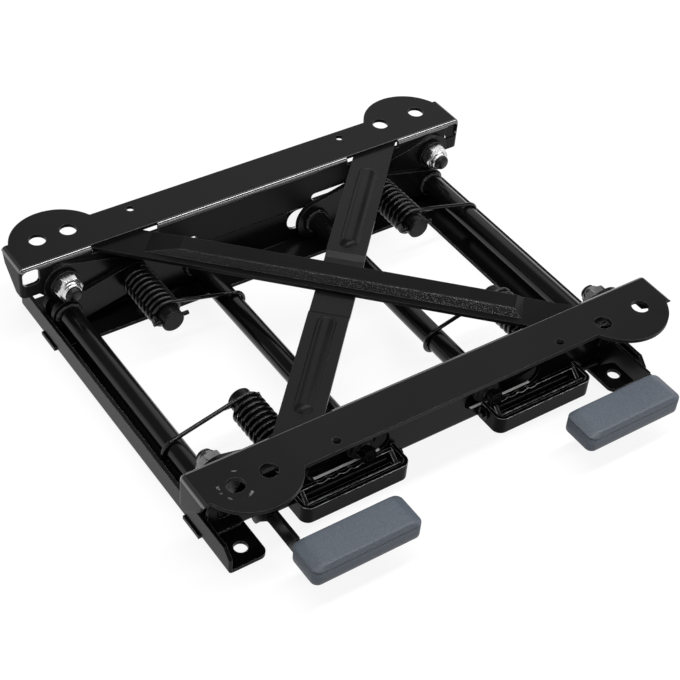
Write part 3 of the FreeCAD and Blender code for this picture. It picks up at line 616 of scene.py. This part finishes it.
def make_materials():
    """Every finish by its short name."""
    made = make_paints()
    zinc = made["zinc"] = metal("bright_zinc", tones=(0.78, 0.50), roughness=0.20, scratch=0.01)
    # Painted shade: the two near nuts are darker than the far ones
    painted_shade_near_nuts = zinc.math("MULTIPLY", zinc.math("LESS_THAN", zinc.place_on(1), 0.0), 0.85)
    zinc.recolour(painted_shade_near_nuts, grey(0.10))
    made["bolt"] = metal("dark_bolt", tones=(0.05, 0.02), roughness=0.32, scratch=0.01)
    made["bush"] = plastic("black_nylon", (grey(0.012), grey(0.02)), roughness=0.5, grain=(0.8, 0.01))
    made["grip"] = plastic("blue_grey_grip", (grip_dark, grip_light), roughness=0.44, grain=(0.9, 0.14))
    return {key: value.material for key, value in made.items()}


MATERIAL_OF = (
    ("top_rail", "plate"), ("brace_upper", "brace"), ("brace_lower", "strap"), ("side_member", "gloss"),
    ("cross_channel", "gloss"), ("lock_box", "boxes"), ("lock_plate", "boxes"), ("tube", "tube"),
    ("slide_bushes", "bush"), ("torsion_spring", "wire"), ("rod_spring", "wire"), ("handle", "grip"),
)


def finish_nodes(materials):
    """Every carried-over node gets its finish; what isn't listed is blackened steel."""
    for name, node in frame["nodes"].items():
        key = next((m for start, m in MATERIAL_OF if name.startswith(start)), "steel")
        node.data.materials.clear()
        node.data.materials.append(materials[key])


def spindle_on_link(x_side, y_side):
    """Whether a corner's spindle is fixed in the link, so that its spring hooks the arm's inner tube."""
    return x_side * y_side < 0


def torsion_spring(end, side, materials):
    """Round coil about the spindle, its leg laid on a tube and hooked round it."""
    x_side, y_side = SIDES[side], ENDS[end]
    place_name = end + "_" + side
    node = "torsion_spring_" + place_name
    spindle = centre("spindle_" + place_name)
    tube_name = ("tube_inner_" if spindle_on_link(x_side, y_side) else "tube_outer_") + side
    tube = centre(tube_name)
    tube_low, tube_high = limits(tube_name)
    hook_radius = (tube_high.z - tube_low.z) / 2 + wire_radius + hook_gap
    low, high = limits(node)
    free_y = low.y + wire_radius if y_side > 0 else high.y - wire_radius
    axis = Vector((spindle.x, 0, spindle.z))
    tube_axis = Vector((tube.x, 0, tube.z))
    span = tube_axis - axis
    run = span.normalized()
    up = Vector((run.z, 0, -run.x))
    if up.z < 0:
        up = -up
    lean = math.asin((coil_radius - hook_radius) / span.length)
    out = up * math.cos(lean) + run * math.sin(lean)
    along = run * math.cos(lean) - up * math.sin(lean)
    at_free_end = Vector((0, free_y, 0))
    path = []
    for i in range(hook_steps, 0, -1):
        turn = math.radians(hook_turn) * i / hook_steps
        path.append(tube_axis + at_free_end + (out * math.cos(turn) + along * math.sin(turn)) * hook_radius)
    start = tube_axis + out * hook_radius + at_free_end
    end_of_leg = axis + out * coil_radius + at_free_end
    path.extend(start.lerp(end_of_leg, i / leg_steps) for i in range(leg_steps))
    for i in range(coil_turns * steps_per_turn + 1):
        turn = 2 * math.pi * i / steps_per_turn
        depth = Vector((0, y_side * coil_pitch * i / steps_per_turn, 0))
        path.append(axis + at_free_end + depth
                    + (out * math.cos(turn) - along * math.sin(turn)) * coil_radius)
    points, faces = rounded_wire(path, wire_radius, wire_sides)
    thing = make_mesh("coil_" + place_name, points, faces)
    place(thing, body_with(node), "spring_wire", materials["wire"], node)


def rod_spring(side, materials):
    """Fine coil round the lock rod."""
    node = "rod_spring_" + side
    low, high = limits(node)
    rod = centre("lock_rod_" + side)
    radius = (high.z - low.z) / 2 - rod_wire_radius
    x0, x1 = low.x + rod_wire_radius, high.x - rod_wire_radius
    path = []
    count = rod_coil_turns * rod_steps_per_turn
    for i in range(count + 1):
        turn = 2 * math.pi * i / rod_steps_per_turn
        path.append(Vector((x0 + (x1 - x0) * i / count, rod.y + radius * math.cos(turn),
                            rod.z + radius * math.sin(turn))))
    points, faces = rounded_wire(path, rod_wire_radius, rod_wire_sides)
    thing = make_mesh("fine_coil_" + side, points, faces)
    place(thing, body_with(node), "spring_wire", materials["wire"], node)


def corner_places(node):
    """The four (x, z, y side) places of fasteners on the top pivots, above the outer tubes."""
    pivot = centre("tube_outer_right").x
    middle = centre(node).z
    return [(x_side * pivot, middle, y_side) for x_side in (LEFT, RIGHT) for y_side in (-1, 1)]


def nuts(materials):
    """Hexagon locking nuts with chamfered faces and a rounded collar."""
    corner = nut_width / math.sqrt(3)
    outer_y = limits("pivot_nuts")[1].y
    profile = [
        (0.0, round_radius(bolt_radius)), (0.0, hex_radius(nut_width, nut_width / 2)),
        (0.5, hex_radius(nut_width, corner - 0.6)), (1.2, hex_radius(nut_width, corner)),
        (nut_hex_height - 1.6, hex_radius(nut_width, corner)),
        (nut_hex_height - 0.9, hex_radius(nut_width, corner - 0.5)),
        (nut_hex_height - 0.3, hex_radius(nut_width, nut_width / 2)),
        (nut_hex_height, round_radius(nut_collar_radius + 1.1)),
        (nut_hex_height + 0.3, round_radius(nut_collar_radius + 0.3)),
        (nut_hex_height + 0.8, round_radius(nut_collar_radius)),
        (nut_height - 1.4, round_radius(nut_collar_radius)),
        (nut_height - 0.6, round_radius(nut_collar_radius - 0.35)),
        (nut_height - 0.15, round_radius(nut_collar_radius - 0.9)),
        (nut_height, round_radius(nut_collar_radius - 1.3)), (nut_height, round_radius(bolt_radius)),
    ]
    parts = []
    for x, z, y_side in corner_places("pivot_nuts"):
        parts.append(lathe(profile, x, z, y_side * outer_y, -y_side, nut_sides))
    points, faces = join_parts(parts)
    thing = make_mesh("locking_nuts", points, faces)
    mark_sharp(thing, 28)
    place(thing, "top_frame", "bright_zinc", materials["zinc"], "pivot_nuts")


def bolts(materials):
    """Hexagon bolts whose free ends carry a real thread."""
    parts = []
    outer = limits("pivot_bolts")[1].y
    tip = min(abs((v.co * 1000).y) for v in frame["nodes"]["pivot_bolts"].data.vertices)
    corner = bolt_head_width / math.sqrt(3)
    length = outer - tip
    head = [
        (0.0, hex_radius(bolt_head_width, bolt_head_width / 2 - 0.4)),
        (0.4, hex_radius(bolt_head_width, corner - 0.5)), (1.0, hex_radius(bolt_head_width, corner)),
        (bolt_head_height, hex_radius(bolt_head_width, corner)),
        (bolt_head_height, round_radius(bolt_radius)),
    ]
    threads = []
    steps = int(thread_length / thread_pitch * steps_per_thread)
    for i in range(steps + 1):
        height = length - thread_runout - thread_length + thread_length * i / steps

        def at(turn, height=height):
            phase = (height / thread_pitch - turn / (2 * math.pi)) % 1.0
            return bolt_radius - thread_depth * (1 - abs(2 * phase - 1))
        threads.append((height, at))
    end = [(length - 0.5, round_radius(bolt_radius - 0.9)), (length, round_radius(bolt_radius - 1.5)),
           (length, round_radius(0.4)), (0.0, round_radius(0.4))]
    for x, z, y_side in corner_places("pivot_bolts"):
        parts.append(lathe(head + threads + end, x, z, y_side * outer, -y_side, bolt_sides))
    points, faces = join_parts(parts)
    thing = make_mesh("threaded_bolts", points, faces)
    mark_sharp(thing, 40)
    place(thing, "top_frame", "black_steel", materials["bolt"], "pivot_bolts")


def bead(name, runs, radius, body, materials, seed):
    """Weld beads along runs of points, rippled and a little uneven."""
    chance = random.Random(seed)
    parts = []
    for run, closed in runs:
        path, radii = [], []
        run = [Vector(p) for p in run]
        legs = len(run) if closed else len(run) - 1
        travelled = 0.0
        for i in range(legs):
            a, b = run[i], run[(i + 1) % len(run)]
            steps = max(1, int((b - a).length / (bead_ripple / steps_per_ripple)))
            for k in range(steps):
                travelled += (b - a).length / steps
                wave = abs(math.sin(math.pi * travelled / bead_ripple))
                jitter = Vector((chance.uniform(-1, 1), chance.uniform(-1, 1), chance.uniform(-1, 1)))
                path.append(a.lerp(b, k / steps) + jitter * radius * bead_wobble)
                radii.append(radius * (0.86 + 0.16 * wave + chance.uniform(-0.05, 0.05)))
        if not closed:
            for k, share in enumerate(bead_taper):
                radii[k] *= share
                radii[-1 - k] *= share
        parts.append(sweep(path, radii, bead_sides, closed))
    points, faces = join_parts(parts)
    thing = make_mesh(name, points, faces)
    place(thing, body, "black_steel", materials["weld"])


def ring_path(x, y, z, radius, count=28):
    """Points of a circle about an axis along Y."""
    turns = [2 * math.pi * i / count for i in range(count)]
    return [(x + radius * math.cos(a), y, z + radius * math.sin(a)) for a in turns]


def tube_beads(materials):
    """Rings of weld where each tube meets its two plates."""
    for side in SIDES:
        for kind, body in (("outer", "link_"), ("inner", "arm_")):
            node = "tube_" + kind + "_" + side
            low, high = limits(node)
            middle = centre(node)
            radius = (high.z - low.z) / 2
            runs = []
            for y in (low.y, high.y):
                inside = y - math.copysign(tube_plate_inset, y)
                runs.append((ring_path(middle.x, inside, middle.z, radius + bead_out), True))
            bead("weld_" + node, runs, tube_bead, body + side, materials, node)


def lock_box_beads(side, materials):
    """Two upright welds of a lock box on the near side member."""
    web = limits("side_member_far")[1].y
    low, high = limits("lock_box_" + side)
    y = -web - bead_out
    runs = [([(x, y, low.z + box_bead_end_gap), (x, y, high.z - box_bead_end_gap)], False)
            for x in (low.x - bead_out, high.x + bead_out)]
    bead("weld_lock_box_" + side, runs, box_bead, "base", materials, "box" + side)


def channel_beads(side, materials):
    """Welds of both side members on a cross channel, up its wall and along its bottom."""
    web = limits("side_member_far")[1].y
    low, high = limits("cross_channel_" + side)
    outward = SIDES[side]
    wall = (high.x if outward > 0 else low.x) - outward * sheet
    inner = low.x if outward > 0 else high.x
    runs = []
    for y_side in (-1, 1):
        y = y_side * (web + low_bead_out)
        x = wall - outward * 0.8
        upright = [(x, y, sheet + 1.5), (x, y, high.z - bead_end_gap)]
        z = sheet + 0.3
        level = [(inner + outward * bead_end_gap, y, z), (wall - outward * bead_end_gap, y, z)]
        runs += [(upright, False), (level, False)]
    bead("weld_channel_" + side, runs, channel_bead, "base", materials, "channel" + side)


def brace_beads(name, x_side, materials):
    """One weld across each end of a brace; x_side is the side of its far end."""
    low, high = limits("brace_" + name)
    z = high.z - brace_bead_drop[name]
    half = brace_bead_length / 2
    runs = []
    for y_side in (-1, 1):
        x = x_side * y_side * (abs(high.x - low.x) / 2 - brace_bead_from_end)
        y = y_side * (high.y - low_bead_out)
        runs.append(([(x - half, y, z), (x + half, y, z)], False))
    bead("weld_brace_" + name, runs, brace_bead, "top_frame", materials, "brace" + name)


def tray(side, materials):
    """Thin folded tray under the lock rod, with a front rim, fixed to the lock plate."""
    low, high = limits("lock_plate_" + side)
    web = limits("side_member_far")[1].y
    back, front = -web - tray_back_gap, low.y + tray_front_gap
    inner = front + tray_sheet
    under, top = low.z - tray_drop, low.z + tray_rim
    over = under + tray_sheet
    section = [(back, under), (front + tray_fold, under), (front, under + tray_fold), (front, top),
               (inner, top), (inner, over + tray_fold / 2), (front + 1.5 * tray_fold, over), (back, over)]
    ends = (low.x + tray_end_gap, high.x - tray_end_gap)
    points = [(x, y, z) for x in ends for y, z in section]
    n = len(section)
    faces = [(i, (i + 1) % n, (i + 1) % n + n, i + n) for i in range(n)]
    faces += [tuple(reversed(range(n))), tuple(range(n, 2 * n))]
    thing = make_mesh("tray_" + side, points, faces, False)
    place(thing, body_with("lock_plate_" + side), "black_powder_coat", materials["boxes"])


def grip(side, materials):
    """Moulded grip: grooved below a ridge, with steep shoulders along it and long ones at its ends."""
    node = "handle_" + side
    low, high = limits(node)
    top, bottom = high.z, low.z
    ridge = top - grip_ridge
    rows = [
        (2.4, 2.4, bottom), (1.1, 1.1, bottom + 0.3), (0.3, 0.3, bottom + 1.2), (0.0, 0.0, bottom + 2.4),
        (0.0, 0.0, ridge - 1.7), (grip_groove, grip_groove, ridge - 1.35),
        (grip_groove, grip_groove, ridge - 1.0), (0.0, 0.0, ridge - 0.65),
        (0.10, 0.05, ridge - 0.1), (0.45, 0.20, ridge + 0.25),
        (1.3, 0.45, ridge + 0.65), (3.2, 0.9, ridge + 1.5), (5.2, 1.4, ridge + 2.35),
        (6.6, 1.8, ridge + 2.9), (7.4, 2.1, ridge + 3.12),
        (grip_slope + 0.3, grip_shoulder + 0.2, top - 0.03),
        (grip_slope + 1.6, grip_shoulder + 1.2, top), (grip_slope + 4.0, grip_shoulder + 3.5, top),
    ]
    points, faces = [], []
    per_corner = 8
    for inset_x, inset_y, z in rows:
        radius = max(1.8, grip_corner - inset_y)
        x0, x1 = low.x + inset_x, high.x - inset_x
        y0, y1 = low.y + inset_y, high.y - inset_y
        centres = ((x1 - radius, y1 - radius, 0), (x0 + radius, y1 - radius, 90),
                   (x0 + radius, y0 + radius, 180), (x1 - radius, y0 + radius, 270))
        for cx, cy, start in centres:
            for k in range(per_corner + 1):
                a = math.radians(start + 90 * k / per_corner)
                points.append((cx + radius * math.cos(a), cy + radius * math.sin(a), z))
    around = 4 * (per_corner + 1)
    for i in range(len(rows) - 1):
        for k in range(around):
            m = (k + 1) % around
            here, above = i * around, (i + 1) * around
            faces.append((here + k, here + m, above + m, above + k))
    faces.append(tuple(reversed(range(around))))
    faces.append(tuple((len(rows) - 1) * around + k for k in range(around)))
    thing = make_mesh("grip_" + side, points, faces)
    place(thing, body_with(node), "grip_plastic", materials["grip"], node)


def cleared_tree(owner):
    """The empty node tree of a world or material, and a short way to add nodes and links to it."""
    owner.use_nodes = True
    tree = owner.node_tree
    tree.nodes.clear()
    return tree, tree.nodes.new, tree.links.new


def sky():
    """World: dim light for the object, and for the eye white at the horizon and dim overhead."""
    world = bpy.data.worlds.new("studio")
    bpy.context.scene.world = world
    tree, add, join = cleared_tree(world)
    out = add("ShaderNodeOutputWorld")
    seen = add("ShaderNodeBackground")
    direction = add("ShaderNodeTexCoord")
    height = add("ShaderNodeSeparateXYZ")
    join(direction.outputs["Generated"], height.inputs[0])
    fade = add("ShaderNodeMapRange")
    for socket, value in zip(range(1, 5), (horizon_low, horizon_high, 1.0, sky_level)):
        fade.inputs[socket].default_value = value
    join(height.outputs[2], fade.inputs[0])
    join(fade.outputs[0], seen.inputs["Color"])
    light = add("ShaderNodeBackground")
    light.inputs["Strength"].default_value = sky_level
    light.inputs["Color"].default_value = (1, 1, 1, 1)
    mix = add("ShaderNodeMixShader")
    join(seen_by_eye(tree), mix.inputs[0])
    join(light.outputs[0], mix.inputs[1])
    join(seen.outputs[0], mix.inputs[2])
    join(mix.outputs[0], out.inputs[0])


def floor():
    """Pale floor that the eye sees nearly white, and that keeps the object's shadow."""
    z = cad_low.z - floor_gap
    corners = [(-floor_size, -floor_size, z), (floor_size, -floor_size, z),
               (floor_size, floor_size, z), (-floor_size, floor_size, z)]
    mesh = bpy.data.meshes.new("floor")
    mesh.from_pydata(corners, [], [(0, 1, 2, 3)])
    thing = bpy.data.objects.new("floor", mesh)
    bpy.context.scene.collection.objects.link(thing)
    material = bpy.data.materials.new("white_sweep")
    tree, add, join = cleared_tree(material)
    out = add("ShaderNodeOutputMaterial")
    diffuse = add("ShaderNodeBsdfDiffuse")
    diffuse.inputs["Color"].default_value = grey(floor_tone)
    glow = add("ShaderNodeEmission")
    scale = add("ShaderNodeMath")
    scale.operation = "MULTIPLY"
    scale.inputs[1].default_value = floor_glow
    join(seen_by_eye(tree), scale.inputs[0])
    join(scale.outputs[0], glow.inputs["Strength"])
    both = add("ShaderNodeAddShader")
    join(diffuse.outputs[0], both.inputs[0])
    join(glow.outputs[0], both.inputs[1])
    join(both.outputs[0], out.inputs[0])
    mesh.materials.append(material)


def studio():
    """Sky, floor, two long strips along the rails and two softboxes."""
    sky()
    floor()
    for values in LAMPS:
        lamp(*values)


def seen_by_eye(tree):
    """1 for camera, glossy and transmission rays."""
    path = tree.nodes.new("ShaderNodeLightPath")
    first = tree.nodes.new("ShaderNodeMath")
    first.operation = "MAXIMUM"
    second = tree.nodes.new("ShaderNodeMath")
    second.operation = "MAXIMUM"
    tree.links.new(path.outputs["Is Camera Ray"], first.inputs[0])
    tree.links.new(path.outputs["Is Glossy Ray"], first.inputs[1])
    tree.links.new(first.outputs[0], second.inputs[0])
    tree.links.new(path.outputs["Is Transmission Ray"], second.inputs[1])
    return second.outputs[0]


def lamp(name, where, size, power):
    """A rectangular lamp that faces the object; a long strip lies along X, others face the middle."""
    data = bpy.data.lights.new(name, "AREA")
    data.shape = "RECTANGLE"
    data.size, data.size_y = size
    data.energy = power
    thing = bpy.data.objects.new(name, data)
    thing.location = where
    if size[0] > strip_from:
        back = Vector((0, where[1], where[2])).normalized()
        right = Vector((1, 0, 0))
    else:
        back = Vector(where).normalized()
        right = Vector((0, 0, 1)).cross(back).normalized()
    turn = Matrix((right, back.cross(right), back)).transposed().to_4x4()
    thing.matrix_world = Matrix.Translation(where) @ turn
    bpy.context.scene.collection.objects.link(thing)


def camera():
    """The camera that was solved from the photograph."""
    data = bpy.data.cameras.new("photograph")
    data.lens = camera_lens
    data.sensor_width = camera_sensor
    data.clip_start = 0.05
    thing = bpy.data.objects.new("photograph", data)
    right, up = Vector(camera_right).normalized(), Vector(camera_up).normalized()
    back = right.cross(up)
    turn = Matrix((right, up, back)).transposed().to_4x4()
    thing.matrix_world = Matrix.Translation(camera_place) @ turn
    bpy.context.scene.collection.objects.link(thing)
    bpy.context.scene.camera = thing


def main():
    """Camera, studio, finishes, and the pieces that scene.py models."""
    bpy.context.scene.view_settings.view_transform = "Standard"
    camera()
    studio()
    materials = make_materials()
    finish_nodes(materials)
    for side in SIDES:
        for end in ENDS:
            torsion_spring(end, side, materials)
        rod_spring(side, materials)
        tray(side, materials)
        grip(side, materials)
    nuts(materials)
    bolts(materials)
    tube_beads(materials)
    for side in SIDES:
        lock_box_beads(side, materials)
        channel_beads(side, materials)
    brace_beads("upper", LEFT, materials)
    brace_beads("lower", RIGHT, materials)


main()
